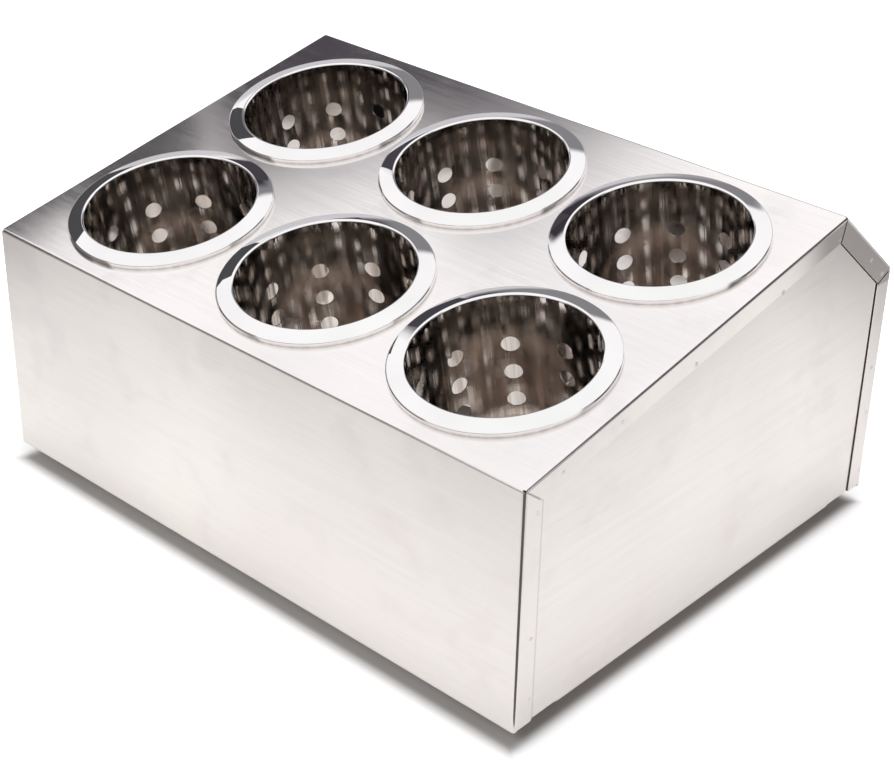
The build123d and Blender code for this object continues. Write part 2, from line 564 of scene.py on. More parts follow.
@dataclass(frozen=True)
class PolishedSteel(Finish):
    """Drawn steel with a polished rim: streaked bore, darkened and browned by painted shade and lightened towards
    its bottom by painted light, spun lines round the axis, hair scratches.
    """

    tone: Colour = (0.96, 0.955, 0.95, 1.0)
    cloud_tone: Colour = (0.91, 0.905, 0.90, 1.0)
    # Painted shade darkens and browns the bore; painted light lightens it towards its bottom.
    bore_shade_tone: Colour = (0.67, 0.615, 0.57, 1.0)
    deep_light_tone: Colour = (0.94, 0.89, 0.85, 1.0)
    streak_tone: Colour = (0.48, 0.43, 0.395, 1.0)
    bore_span: Point2 = (-1.0 * MM, 2.5 * MM)
    deep_light_span: Point2 = (-78.0 * MM, -36.0 * MM)
    roughness: Point2 = (0.02, 0.05)
    hair_roughness: float = 0.05
    bore_roughness: Point2 = (0.07, 0.14)
    streaks: Point3 = (260.0, 260.0, 7.0)
    rings_per_metre: float = 2400.0
    ring_height: float = 0.003 * MM
    waves: Point3 = (210.0, 210.0, 6.0)
    wave_height: float = 0.036 * MM
    cloud_per_metre: float = 18.0
    scratch_per_metre: float = 420.0

    def make(self, effects: Effects) -> bpy.types.Material:
        """Build the material, which reads each point's own place in its cylinder.

        Args:
            effects: The shared effect groups.

        Returns:
            The material.
        """
        material, w, shader = self._start()
        place = w.add("ShaderNodeAttribute", attribute_name=CUP_PLACE).outputs["Vector"]
        height = w.add("ShaderNodeSeparateXYZ", {0: place}).outputs["Z"]
        across = w.vector("LENGTH", w.vector("MULTIPLY", place, (1.0, 1.0, 0.0)))
        turned = w.add("ShaderNodeCombineXYZ", {"X": across, "Z": height}).outputs[0]
        clouds = self._effect(w, effects.clouds, Place=place, Per_Metre=self.cloud_per_metre)
        hairs = self._effect(w, effects.scratches, Place=place, Per_Metre=self.scratch_per_metre)
        ring, streak, wave = (
            self._effect(w, effects.grain, Place=spot, Stretch=stretch).outputs["Grain"]
            for spot, stretch in (
                (turned, (self.rings_per_metre,) * 3), (place, self.streaks), (place, self.waves))
        )
        inside = w.span(height, 1.0, 0.0, *self.bore_span)

        rim = w.blend(clouds.outputs["Cloud"], self.tone, self.cloud_tone)
        # Painted shade in the bore, and painted light towards its bottom.
        shaded_bore = w.blend(w.span(height, 1.0, 0.0, *self.deep_light_span), self.bore_shade_tone, self.deep_light_tone)
        shaded_bore = w.blend(streak, shaded_bore, self.streak_tone)
        w.feed(shader.inputs["Base Color"], w.blend(inside, rim, shaded_bore))

        rim_rough = w.span(clouds.outputs["Smudge"], *self.roughness)
        rim_rough = w.math("MULTIPLY_ADD", hairs.outputs["Scratch"], self.hair_roughness, rim_rough)
        bore_rough = w.span(streak, *self.bore_roughness)
        w.feed(shader.inputs["Roughness"], w.mix(inside, rim_rough, bore_rough))

        relief = w.math("MULTIPLY", ring, self.ring_height)
        relief = w.math("MULTIPLY_ADD", wave, self.wave_height, relief)
        self._raise(w, shader, w.math("MULTIPLY", relief, inside))
        return material


@dataclass(frozen=True)
class WeldTint(Finish):
    """Spot-weld mark: dull pressed metal with a straw-coloured ring of heat."""

    tone: Colour = (0.94, 0.915, 0.885, 1.0)
    heat_tone: Colour = (0.70, 0.66, 0.62, 1.0)
    roughness: Point2 = (0.20, 0.32)
    cloud_per_metre: float = 160.0

    def make(self, effects: Effects) -> bpy.types.Material:
        """Build the material.

        Args:
            effects: The shared effect groups.

        Returns:
            The material.
        """
        material, w, shader = self._start()
        place = w.add("ShaderNodeTexCoord").outputs["Object"]
        clouds = self._effect(w, effects.clouds, Place=place, Per_Metre=self.cloud_per_metre)
        colour = w.blend(clouds.outputs["Cloud"], self.tone, self.heat_tone)
        w.feed(shader.inputs["Base Color"], colour)
        w.feed(shader.inputs["Roughness"], w.span(clouds.outputs["Smudge"], *self.roughness))
        return material


@dataclass(frozen=True)
class FastenerSteel(Finish):
    """Plain bright fastener steel with turned grain and handling marks."""

    tone: Colour = (0.70, 0.69, 0.67, 1.0)
    cloud_tone: Colour = (0.55, 0.54, 0.52, 1.0)
    roughness: Point2 = (0.26, 0.42)
    grain: Point3 = (900.0, 900.0, 2600.0)
    grain_height: float = 0.004 * MM
    cloud_per_metre: float = 120.0

    def make(self, effects: Effects) -> bpy.types.Material:
        """Build the material.

        Args:
            effects: The shared effect groups.

        Returns:
            The material.
        """
        material, w, shader = self._start()
        place = w.add("ShaderNodeTexCoord").outputs["Object"]
        grain = self._effect(w, effects.grain, Place=place, Stretch=self.grain).outputs["Grain"]
        clouds = self._effect(w, effects.clouds, Place=place, Per_Metre=self.cloud_per_metre)
        colour = w.blend(clouds.outputs["Cloud"], self.tone, self.cloud_tone)
        w.feed(shader.inputs["Base Color"], colour)
        worn = w.math("MAXIMUM", grain, clouds.outputs["Smudge"])
        w.feed(shader.inputs["Roughness"], w.span(worn, *self.roughness))
        self._raise(w, shader, w.math("MULTIPLY", grain, self.grain_height))
        return material


@dataclass(frozen=True)
class FootRubber(Finish):
    """Moulded black rubber, finely pitted, with pale dust in patches."""

    tone: Colour = (0.022, 0.022, 0.023, 1.0)
    dust_tone: Colour = (0.11, 0.107, 0.10, 1.0)
    dust_share: float = 0.6
    roughness: Point2 = (0.55, 0.82)
    pits: Point3 = (2300.0, 2300.0, 2300.0)
    pit_height: float = 0.02 * MM
    cloud_per_metre: float = 90.0

    def make(self, effects: Effects) -> bpy.types.Material:
        """Build the material.

        Args:
            effects: The shared effect groups.

        Returns:
            The material.
        """
        material, w, shader = self._start(metallic=0.0)
        place = w.add("ShaderNodeTexCoord").outputs["Object"]
        pits = self._effect(w, effects.grain, Place=place, Stretch=self.pits).outputs["Grain"]
        clouds = self._effect(w, effects.clouds, Place=place, Per_Metre=self.cloud_per_metre)
        cloud, smudge = clouds.outputs["Cloud"], clouds.outputs["Smudge"]
        dust = w.math("MULTIPLY", cloud, w.math("MULTIPLY", smudge, self.dust_share))
        w.feed(shader.inputs["Base Color"], w.blend(dust, self.tone, self.dust_tone))
        w.feed(shader.inputs["Roughness"], w.span(cloud, *self.roughness))
        self._raise(w, shader, w.math("MULTIPLY", pits, self.pit_height))
        return material


class Meshes:
    """Small helpers for mesh objects."""

    @staticmethod
    def place(name: str, mesh: bpy.types.Mesh) -> bpy.types.Object:
        """Put a mesh in the scene as an object at the origin.

        Args:
            name: The object's name.
            mesh: Its mesh.

        Returns:
            The new object.
        """
        piece = bpy.data.objects.new(name, mesh)
        bpy.context.scene.collection.objects.link(piece)
        return piece

    @staticmethod
    def bake(piece: bpy.types.Object, name: str) -> bpy.types.Mesh:
        """Turn an object's evaluated modifiers into a plain mesh and remove the object.

        Args:
            piece: The object with live modifiers.
            name: Name of the resulting mesh.

        Returns:
            The plain mesh.
        """
        seen = piece.evaluated_get(bpy.context.evaluated_depsgraph_get())
        mesh = bpy.data.meshes.new_from_object(seen)
        mesh.name = name
        bpy.data.objects.remove(piece)
        return mesh

    @staticmethod
    def finished(work: bmesh.types.BMesh, name: str, smooth: bool = False) -> bpy.types.Mesh:
        """Turn worked geometry into a mesh and let go of it.

        Args:
            work: The geometry.
            name: The mesh's name.
            smooth: Whether its faces are shaded smooth.

        Returns:
            The mesh.
        """
        for face in work.faces:
            face.smooth = smooth
        mesh = bpy.data.meshes.new(name)
        work.to_mesh(mesh)
        work.free()
        return mesh

    @staticmethod
    def ring(work: bmesh.types.BMesh, centre: Vector, radius: float, steps: int) -> Ring:
        """Add the vertices of one level circle.

        Args:
            work: The mesh that gets them.
            centre: The circle's middle.
            radius: Its radius.
            steps: How many vertices.

        Returns:
            The vertices in order.
        """
        angles = (2 * math.pi * k / steps for k in range(steps))
        return [work.verts.new(centre + Vector((math.cos(a), math.sin(a), 0.0)) * radius) for a in angles]

    @classmethod
    def revolved(cls, work: bmesh.types.BMesh, profile: Sequence[Point2], steps: int) -> list[Ring]:
        """Add the rings of a turned profile and the faces between them.

        Args:
            work: The mesh that gets them.
            profile: Radius and height of each ring.
            steps: Vertices per ring.

        Returns:
            The rings' vertices in order.
        """
        rings = [cls.ring(work, Vector((0.0, 0.0, height)), radius, steps) for radius, height in profile]
        for lower, upper in zip(rings, rings[1:]):
            for k in range(steps):
                after = (k + 1) % steps
                work.faces.new((lower[k], lower[after], upper[after], upper[k]))
        return rings

    @staticmethod
    def rounded(corners: Sequence[Point3], steps: int) -> list[Point2]:
        """Points of a bent line with rounded corners.

        Args:
            corners: Radius from the axis, height and bend radius of each corner, 0 at the ends.
            steps: Spans in each bend.

        Returns:
            The points in order.
        """
        points = [corners[0][:2]]
        for before, corner, after in zip(corners, corners[1:], corners[2:]):
            here = Vector(corner[:2])
            back = (Vector(before[:2]) - here).normalized()
            ahead = (Vector(after[:2]) - here).normalized()
            half = back.angle(ahead) / 2
            centre = here + (back + ahead).normalized() * corner[2] / math.sin(half)
            start = here + back * corner[2] / math.tan(half) - centre
            turn = start.angle_signed(here + ahead * corner[2] / math.tan(half) - centre)
            for k in range(steps + 1):
                points.append(tuple(centre + Matrix.Rotation(-turn * k / steps, 2) @ start))
        points.append(corners[-1][:2])
        return points


class Trees:
    """The geometry node trees, each built once."""

    merge_distance: float = 0.01 * MM

    @staticmethod
    def _start(name: str, inputs: dict[str, str]) -> tuple[Wiring, bpy.types.Node, bpy.types.Node]:
        """Start a geometry tree.

        Args:
            name: The tree's name.
            inputs: Socket types by input name, after the geometry.

        Returns:
            The tree's wiring, its input node and its output node.
        """
        tree = bpy.data.node_groups.new(name, "GeometryNodeTree")
        tree.interface.new_socket("Geometry", in_out="INPUT", socket_type="NodeSocketGeometry")
        for label, kind in inputs.items():
            tree.interface.new_socket(label, in_out="INPUT", socket_type=kind)
        tree.interface.new_socket("Geometry", in_out="OUTPUT", socket_type="NodeSocketGeometry")
        wiring = Wiring(tree)
        return wiring, wiring.add("NodeGroupInput"), wiring.add("NodeGroupOutput")

    @staticmethod
    def attach(piece: bpy.types.Object, tree: bpy.types.NodeTree, values: dict[str, object]) -> None:
        """Put a tree on an object with its inputs set.

        Args:
            piece: The object.
            tree: The geometry tree.
            values: Input values by input name.
        """
        modifier = piece.modifiers.new(tree.name, "NODES")
        modifier.node_group = tree
        for item in tree.interface.items_tree:
            if item.in_out == "INPUT" and item.name in values:
                modifier[item.identifier] = values[item.name]

    @classmethod
    def perforated_wall(cls) -> bpy.types.NodeTree:
        """Repeat a tile with one hole in columns and rows, and wrap the sheet round a tapered wall.

        Returns:
            The tree.
        """
        w, given, out = cls._start("perforated_wall", {
            "Columns": "NodeSocketInt", "Rows": "NodeSocketInt", "Tile Width": "NodeSocketFloat",
            "Row Pitch": "NodeSocketFloat", "Top Depth": "NodeSocketFloat", "Wall Radius": "NodeSocketFloat",
            "Taper": "NodeSocketFloat", "Material": "NodeSocketMaterial",
        })
        columns, rows = given.outputs["Columns"], given.outputs["Rows"]
        width, pitch = given.outputs["Tile Width"], given.outputs["Row Pitch"]
        grid = w.add("GeometryNodeMeshGrid", {
            "Size X": w.math("MULTIPLY", w.math("SUBTRACT", columns, 1.0), width),
            "Size Y": w.math("MULTIPLY", w.math("SUBTRACT", rows, 1.0), pitch),
            "Vertices X": columns, "Vertices Y": rows,
        })
        tiles = w.add("GeometryNodeInstanceOnPoints", {
            "Points": grid.outputs["Mesh"], "Instance": given.outputs["Geometry"]})
        sheet = w.add("GeometryNodeRealizeInstances", {0: tiles.outputs["Instances"]})
        place = w.add("ShaderNodeSeparateXYZ", {0: w.add("GeometryNodeInputPosition").outputs[0]})
        round_length = w.math("MULTIPLY", columns, width)
        angle = w.math("MULTIPLY", w.math("DIVIDE", place.outputs["X"], round_length), 2 * math.pi)
        half = w.math("MULTIPLY", w.math("MULTIPLY", rows, pitch), 0.5)
        depth = w.math("ADD", given.outputs["Top Depth"], w.math("SUBTRACT", half, place.outputs["Y"]))
        radius = w.math("SUBTRACT", given.outputs["Wall Radius"],
                        w.math("MULTIPLY", depth, given.outputs["Taper"]))
        wrapped = w.add("ShaderNodeCombineXYZ", {
            "X": w.math("MULTIPLY", radius, w.math("COSINE", angle)),
            "Y": w.math("MULTIPLY", radius, w.math("SINE", angle)),
            "Z": w.math("MULTIPLY", depth, -1.0),
        })
        wall = w.add("GeometryNodeSetPosition", {
            "Geometry": sheet.outputs[0], "Position": wrapped.outputs[0]})
        merged = w.add("GeometryNodeMergeByDistance", {
            "Geometry": wall.outputs[0], "Distance": cls.merge_distance})
        dressed = w.add("GeometryNodeSetMaterial", {
            "Geometry": merged.outputs[0], "Material": given.outputs["Material"]})
        w.feed(out.inputs["Geometry"], dressed.outputs[0])
        return w.tree

    @classmethod
    def set_on_points(cls) -> bpy.types.NodeTree:
        """Stand a copy of one form on each point, facing one way or out of the nearer end.

        Returns:
            The tree.
        """
        w, given, out = cls._start("set_on_points", {
            "Form": "NodeSocketObject", "Facing": "NodeSocketVector", "Mirror": "NodeSocketFloat",
            "Unevenness": "NodeSocketFloat", "Seed": "NodeSocketInt", "Material": "NodeSocketMaterial",
        })
        form = w.add("GeometryNodeObjectInfo", {"Object": given.outputs["Form"]})
        place = w.add("ShaderNodeSeparateXYZ", {0: w.add("GeometryNodeInputPosition").outputs[0]})
        side = w.math("SIGN", place.outputs["X"])
        mirrored = w.add("ShaderNodeVectorMath", {
            0: given.outputs["Facing"], "Scale": side}, operation="SCALE")
        facing = w.add("ShaderNodeMix", {
            0: given.outputs["Mirror"], 4: given.outputs["Facing"], 5: mirrored.outputs["Vector"],
        }, data_type="VECTOR")
        turn = w.add("FunctionNodeAlignRotationToVector", {"Vector": facing.outputs[1]}, axis="Z")
        size = w.add("FunctionNodeRandomValue", {
            2: w.math("SUBTRACT", 1.0, given.outputs["Unevenness"]),
            3: w.math("ADD", 1.0, given.outputs["Unevenness"]),
            "Seed": given.outputs["Seed"],
        }, data_type="FLOAT")
        copies = w.add("GeometryNodeInstanceOnPoints", {
            "Points": given.outputs["Geometry"], "Instance": form.outputs["Geometry"],
            "Rotation": turn.outputs[0], "Scale": size.outputs[1],
        })
        real = w.add("GeometryNodeRealizeInstances", {0: copies.outputs["Instances"]})
        dressed = w.add("GeometryNodeSetMaterial", {
            "Geometry": real.outputs[0], "Material": given.outputs["Material"]})
        w.feed(out.inputs["Geometry"], dressed.outputs[0])
        return w.tree


@dataclass(frozen=True)
class Seat:
    """Where one cylinder stands on the deck: its solid, its body and the place of its axis."""

    node: str
    body: str
    matrix: Matrix


@dataclass
class Cylinders:
    """The six perforated cylinders, each one drawn sheet about its own axis, with the deck at height 0."""

    rim_radius: float = 57.15 * MM
    bore_radius: float = 47.625 * MM
    depth: float = 135.5 * MM
    wall: float = 0.7 * MM
    draft: float = 1.3
    seat_gap: float = 0.05 * MM
    rim_edge: float = 2.8 * MM
    rim_edge_bend: float = 1.2 * MM
    rim_slope: float = 13.0
    lip_bend: float = 1.2 * MM
    bottom_bend: float = 6.0 * MM
    hole_radius: float = 4.75 * MM
    columns: int = 10
    rows: int = 6
    row_pitch: float = 17.3 * MM
    first_row: float = 26.0 * MM
    drain_ring: float = 24.0 * MM
    drains: int = 6
    tile_steps: tuple[int, int] = (16, 8)
    tile_rings: int = 4
    bend_steps: int = 10
    drain_steps: int = 48
    join_distance: float = 0.02 * MM
    crease: float = 40.0
    turns: dict[str, float] = field(default_factory=lambda: {
        "cylinder_front_left": -4.0, "cylinder_front_middle": 90.0, "cylinder_front_right": 4.0,
        "cylinder_rear_left": 8.4, "cylinder_rear_middle": 0.0, "cylinder_rear_right": -8.4,
    })

    def seats(self) -> list[Seat]:
        """Read the seats from the lift joints and the solids of the frame.

        Returns:
            One seat for each cylinder.
        """
        found = []
        for joint in frame["joints"]:
            body = joint["child"]
            node = frame["record"]["behaviour"]["bodies"][body][0]
            rise = Vector(joint["axis"]).normalized()
            across = Vector((1.0, 0.0, 0.0))
            upslope = rise.cross(across)
            points = [v.co for v in frame["nodes"][node].data.vertices]
            origin = Vector()
            for axis in (across, upslope):
                reach = [p.dot(axis) for p in points]
                origin += axis * (min(reach) + max(reach)) / 2
            origin += rise * (min(p.dot(rise) for p in points) + self.depth)
            matrix = Matrix((across, upslope, rise)).transposed().to_4x4()
            matrix.translation = origin
            matrix @= Matrix.Rotation(math.radians(self.turns[node]), 4, "Z")
            found.append(Seat(node, body, matrix))
        return found

    def _wall_line(self) -> tuple[Vector, Vector]:
        """Top and foot of the visible side of the wall, as radius and height, before the bends.

        Returns:
            The two corners.
        """
        lip = self.rim_edge + (self.rim_radius - self.bore_radius) * math.tan(math.radians(self.rim_slope))
        foot = self.bore_radius - (self.depth - self.wall) * math.tan(math.radians(self.draft))
        return Vector((self.bore_radius, lip)), Vector((foot, self.wall - self.depth))

    def _radius_at(self, height: float) -> float:
        """Radius of the wall's visible side at a height.

        Args:
            height: Height above the deck.

        Returns:
            The radius.
        """
        top, foot = self._wall_line()
        return top.x + (foot.x - top.x) * (top.y - height) / (top.y - foot.y)

    def _tile(self) -> bpy.types.Mesh:
        """One flat tile of the wall with its hole, in rings from the hole to the tile's edge.

        Returns:
            The tile's mesh.
        """
        width, height = self._tile_width(), self.row_pitch
        along, up = self.tile_steps
        edge = [Vector((width * (k / along - 0.5), -height / 2, 0.0)) for k in range(along)]
        edge += [Vector((width / 2, height * (k / up - 0.5), 0.0)) for k in range(up)]
        edge += [-p for p in edge]
        work = bmesh.new()
        rings = []
        for step in range(self.tile_rings + 1):
            share = step / self.tile_rings
            points = (p.normalized() * self.hole_radius * (1 - share) + p * share for p in edge)
            rings.append([work.verts.new(p) for p in points])
        for inner, outer in zip(rings, rings[1:]):
            for k in range(len(edge)):
                after = (k + 1) % len(edge)
                work.faces.new((inner[k], outer[k], outer[after], inner[after]))
        return Meshes.finished(work, "wall_tile")

    def _tile_width(self) -> float:
        """Width of one tile, measured round the wall at the middle row."""
        middle = self._radius_at(-self.first_row - (self.rows - 1) * self.row_pitch / 2)
        return 2 * math.pi * middle / self.columns

    def _shell(self, finish: bpy.types.Material) -> bpy.types.Mesh:
        """One whole cylinder about its own axis.

        Args:
            finish: The polished finish.

        Returns:
            The closed mesh of the sheet, with each vertex's own place kept as an attribute.
        """
        top, foot = self._wall_line()
        zone_top = self.first_row - self.row_pitch / 2
        zone_foot = zone_top + self.rows * self.row_pitch
        tile = Meshes.place("wall_tile", self._tile())
        Trees.attach(tile, Trees.perforated_wall(), {
            "Columns": self.columns, "Rows": self.rows, "Tile Width": self._tile_width(),
            "Row Pitch": self.row_pitch, "Top Depth": zone_top, "Wall Radius": self._radius_at(0.0),
            "Taper": (top.x - foot.x) / (top.y - foot.y), "Material": finish,
        })
        perforated = Meshes.bake(tile, "perforated_wall")

        steps = self.columns * self.tile_steps[0]
        upper = Meshes.rounded([
            (self.rim_radius, self.seat_gap, 0.0),
            (self.rim_radius, self.rim_edge, self.rim_edge_bend),
            (top.x, top.y, self.lip_bend),
            (self._radius_at(-zone_top), -zone_top, 0.0),
        ], self.bend_steps)
        lower = Meshes.rounded([
            (self._radius_at(-zone_foot), -zone_foot, 0.0),
            (foot.x, foot.y, self.bottom_bend),
            (self.drain_ring, foot.y, 0.0),
        ], self.bend_steps)[:-1]
        work = bmesh.new()
        work.from_mesh(perforated)
        Meshes.revolved(work, upper, steps)
        floor_rim = Meshes.revolved(work, lower, steps)[-1]
        self._drained_bottom(work, floor_rim, foot.y)
        bmesh.ops.remove_doubles(work, verts=work.verts, dist=self.join_distance)
        bmesh.ops.recalc_face_normals(work, faces=work.faces)
        floor = min(work.faces, key=lambda face: face.calc_center_median().z)
        if floor.normal.z < 0:
            bmesh.ops.reverse_faces(work, faces=work.faces)
        sheet = Meshes.finished(work, "cylinder_sheet", smooth=True)
        sheet.materials.append(finish)
        body = Meshes.place("cylinder_sheet", sheet)
        wall = body.modifiers.new("wall", "SOLIDIFY")
        wall.thickness = self.wall
        wall.offset = -1.0
        wall.use_even_offset = True
        shell = Meshes.bake(body, "cylinder_shell")
        shell.set_sharp_from_angle(angle=math.radians(self.crease))
        kept = shell.attributes.new(CUP_PLACE, "FLOAT_VECTOR", "POINT")
        for item, vertex in zip(kept.data, shell.vertices):
            item.vector = vertex.co
        return shell

    def _drained_bottom(self, work: bmesh.types.BMesh, rim: Ring, height: float) -> None:
        """Fill the flat bottom inside its rim, around a middle drain hole and a ring of drain holes.

        Args:
            work: The mesh that gets the bottom.
            rim: The outer ring of the bottom.
            height: The bottom's height.
        """
        middle = Vector((0.0, 0.0, height))
        angles = (2 * math.pi * k / self.drains for k in range(self.drains))
        spots = [middle + Vector((math.cos(a), math.sin(a), 0.0)) * self.drain_ring for a in angles]
        loops = [rim]
        for spot in (middle, *spots):
            loops.append(Meshes.ring(work, spot, self.hole_radius, self.drain_steps))
        edges = []
        for loop in loops:
            for first, second in zip(loop, loop[1:] + loop[:1]):
                edges.append(work.edges.get((first, second)) or work.edges.new((first, second)))
        bmesh.ops.triangle_fill(work, edges=edges, use_beauty=True, normal=(0.0, 0.0, 1.0))

    def build(self, finish: bpy.types.Material) -> list[bpy.types.Object]:
        """Stand a cylinder in each seat.

        Args:
            finish: The polished finish.

        Returns:
            The six pieces.
        """
        master = self._shell(finish)
        pieces = []
        for seat in self.seats():
            mesh = master.copy()
            mesh.transform(seat.matrix)
            piece = Meshes.place(f"{seat.node}_shell", mesh)
            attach(piece, seat.body)
            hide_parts(seat.node)
            pieces.append(piece)
        bpy.data.meshes.remove(master)
        return pieces


@dataclass
class Housing:
    """The folded housing: satin sheet, end panels behind lapped flanges, spot welds, feet and fasteners."""

    sheet: float = 1.0 * MM
    weld_radius: float = 1.4 * MM
    weld_height: float = 0.05 * MM
    weld_steps: int = 16
    weld_unevenness: float = 0.12
    weld_seed: int = 4
    weld_profile: tuple[Point2, ...] = (
        (1.0, -1.0), (1.0, 0.0), (0.86, 0.7), (0.7, 1.0), (0.52, 0.55), (0.3, 0.15), (0.08, 0.1))
    weld_crease: float = 40.0
    wrap_grain: Point3 = (30.0, 1400.0, 1400.0)
    panel_grain: Point3 = (1400.0, 30.0, 1400.0)
    flange: float = 12.5 * MM
    # Painted shade strips on the end panels: how far they show past a flange, and how dark they are.
    seam_show: float = 0.45 * MM
    close_seam_shade: float = 0.4
    faint_show: float = 2.2 * MM
    faint_seam_shade: float = 0.20
    faint_softness: float = 0.4 * MM
    deck_tilt: float = 11.25
    bevel_tilt: float = 41.4
    front_top: float = 147.82 * MM
    bevel_foot: float = 150.11 * MM

    # Millimetres behind the housing's front and above its lower edge
    weld_spots: dict[Flange, tuple[Point2, ...]] = field(default_factory=lambda: {
        Flange.DECK: ((26.7, 135.6), (68.7, 143.7), (124.7, 151.7), (195.6, 164.0), (244.8, 176.9)),
        Flange.BEVEL: ((256.2, 173.4), (280.6, 152.5), (294.3, 139.7)),
        Flange.BACK: ((297.9, 80.6), (298.9, 51.2), (300.3, 12.5)),
        Flange.FRONT: ((9.9, 121.6), (9.4, 84.1), (9.2, 52.2), (10.0, 16.4)),
    })

    def shade_laps(self) -> list[ShadeLap]:
        """Strips of painted shade on an end panel behind the flanges, shown only in the slits and along open
        edges.

        Returns:
            The strips: two for the front flange and one for each of the others.
        """
        low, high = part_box("housing_wrap")
        deck, bevel = math.radians(self.deck_tilt), math.radians(self.bevel_tilt)
        front = (low.y, low.z), (1.0, 0.0)
        hidden, shown = self.flange - self.seam_show, self.flange + self.seam_show
        return [
            ShadeLap(*front, hidden, self.close_seam_shade),
            ShadeLap(*front, self.flange + self.faint_show, self.faint_seam_shade, self.faint_softness),
            ShadeLap((low.y, self.front_top), (math.sin(deck), -math.cos(deck)), hidden, self.close_seam_shade),
            ShadeLap((high.y, self.bevel_foot), (-math.sin(bevel), -math.cos(bevel)), shown),
            ShadeLap((high.y, low.z), (-1.0, 0.0), shown),
        ]

    def weld_points(self) -> list[Point3]:
        """Places of the spot welds on both ends, flange by flange.

        Returns:
            The points in the frame, those of the left end first.
        """
        low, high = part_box("housing_wrap")
        spots = [spot for flange in self.weld_spots.values() for spot in flange]
        return [(x, low.y + y * MM, low.z + z * MM) for x in (low.x, high.x) for y, z in spots]

    def _weld_form(self) -> bpy.types.Object:
        """One spot-weld mark: a low ring with a pressed middle, facing +Z, its closed base let in below 0.

        Returns:
            The form, for the tree to copy.
        """
        profile = [(self.weld_radius * across, self.weld_height * up) for across, up in self.weld_profile]
        work = bmesh.new()
        rings = Meshes.revolved(work, profile, self.weld_steps)
        for rim in (rings[0], rings[-1]):
            work.faces.new(rim)
        bmesh.ops.recalc_face_normals(work, faces=work.faces)
        return Meshes.place("weld_form", Meshes.finished(work, "weld_form", smooth=True))

    def _welds(self, tree: bpy.types.NodeTree, finish: bpy.types.Material) -> bpy.types.Object:
        """The spot welds of both ends as one piece.

        Args:
            tree: The tree that sets forms on points.
            finish: The weld marks' finish.

        Returns:
            The piece.
        """
        mesh = bpy.data.meshes.new("weld_points")
        mesh.from_pydata(self.weld_points(), [], [])
        form = self._weld_form()
        host = Meshes.place("weld_points", mesh)
        Trees.attach(host, tree, {
            "Form": form, "Facing": (1.0, 0.0, 0.0), "Mirror": 1.0,
            "Unevenness": self.weld_unevenness, "Seed": self.weld_seed, "Material": finish,
        })
        baked = Meshes.bake(host, "end_spot_welds")
        baked.set_sharp_from_angle(angle=math.radians(self.weld_crease))
        bpy.data.objects.remove(form)
        piece = Meshes.place("end_spot_welds", baked)
        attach(piece, HOUSING)
        return piece

    @staticmethod
    def dress(node: str, finish: bpy.types.Material) -> None:
        """Give a solid of the frame its finish.

        Args:
            node: The solid's name.
            finish: Its material.
        """
        piece = frame["nodes"][node]
        if not piece.material_slots:
            piece.data.materials.append(finish)
        for slot in piece.material_slots:
            slot.material = finish

    def build(self, effects: Effects) -> list[bpy.types.Object]:
        """Dress the housing's solids and add its small detail.

        Args:
            effects: The shared effect groups.

        Returns:
            The pieces added.
        """
        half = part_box("housing_wrap")[1].x
        wrap = SatinSheet("satin_wrap", self.wrap_grain, half, self.sheet).make(effects)
        panel = SatinSheet("satin_end_panel", self.panel_grain, half, self.sheet, self.shade_laps()).make(effects)
        rubber = FootRubber("foot_rubber").make(effects)
        steel = FastenerSteel("fastener_steel").make(effects)
        self.dress("housing_wrap", wrap)
        for node in ("left_end_panel", "right_end_panel"):
            self.dress(node, panel)
        for node in ("foot_front_left", "foot_front_right", "foot_rear_left", "foot_rear_right"):
            self.dress(node, rubber)
        for node in ("foot_screws", "foot_nuts"):
            self.dress(node, steel)
        return [self._welds(Trees.set_on_points(), WeldTint("weld_tint").make(effects))]


@dataclass(frozen=True)
class Flag:
    """One soft-edged grey card of the studio, placed by the directions that it covers, in degrees."""

    azimuth: Point2
    elevation: Point2
    tone: Point3
    softness: Point2
    rise: float = 0.0

    def cover(self, azimuth: float, elevation: float) -> float:
        """How far the card hides what is behind it in one direction.

        Args:
            azimuth: Degrees from +X towards +Y.
            elevation: Degrees above the horizon.

        Returns:
            From 0 for not at all to 1 for wholly.
        """
        along = (azimuth - self.azimuth[0] + 180.0) % 360.0 - 180.0
        across = min(along, self.azimuth[1] - self.azimuth[0] - along)
        upright = min(elevation - self.elevation[0], self.elevation[1] + self.rise * along - elevation)
        share = 1.0
        for depth, soft in zip((across, upright), self.softness):
            part = min(max(depth / soft + 0.5, 0.0), 1.0)
            share *= part * part * (3.0 - 2.0 * part)
        return share


@dataclass(frozen=True)
class Card:
    """One flat dark card near the object, which only reflections show."""

    name: str
    corners: tuple[Point3, ...]
    tone: Colour


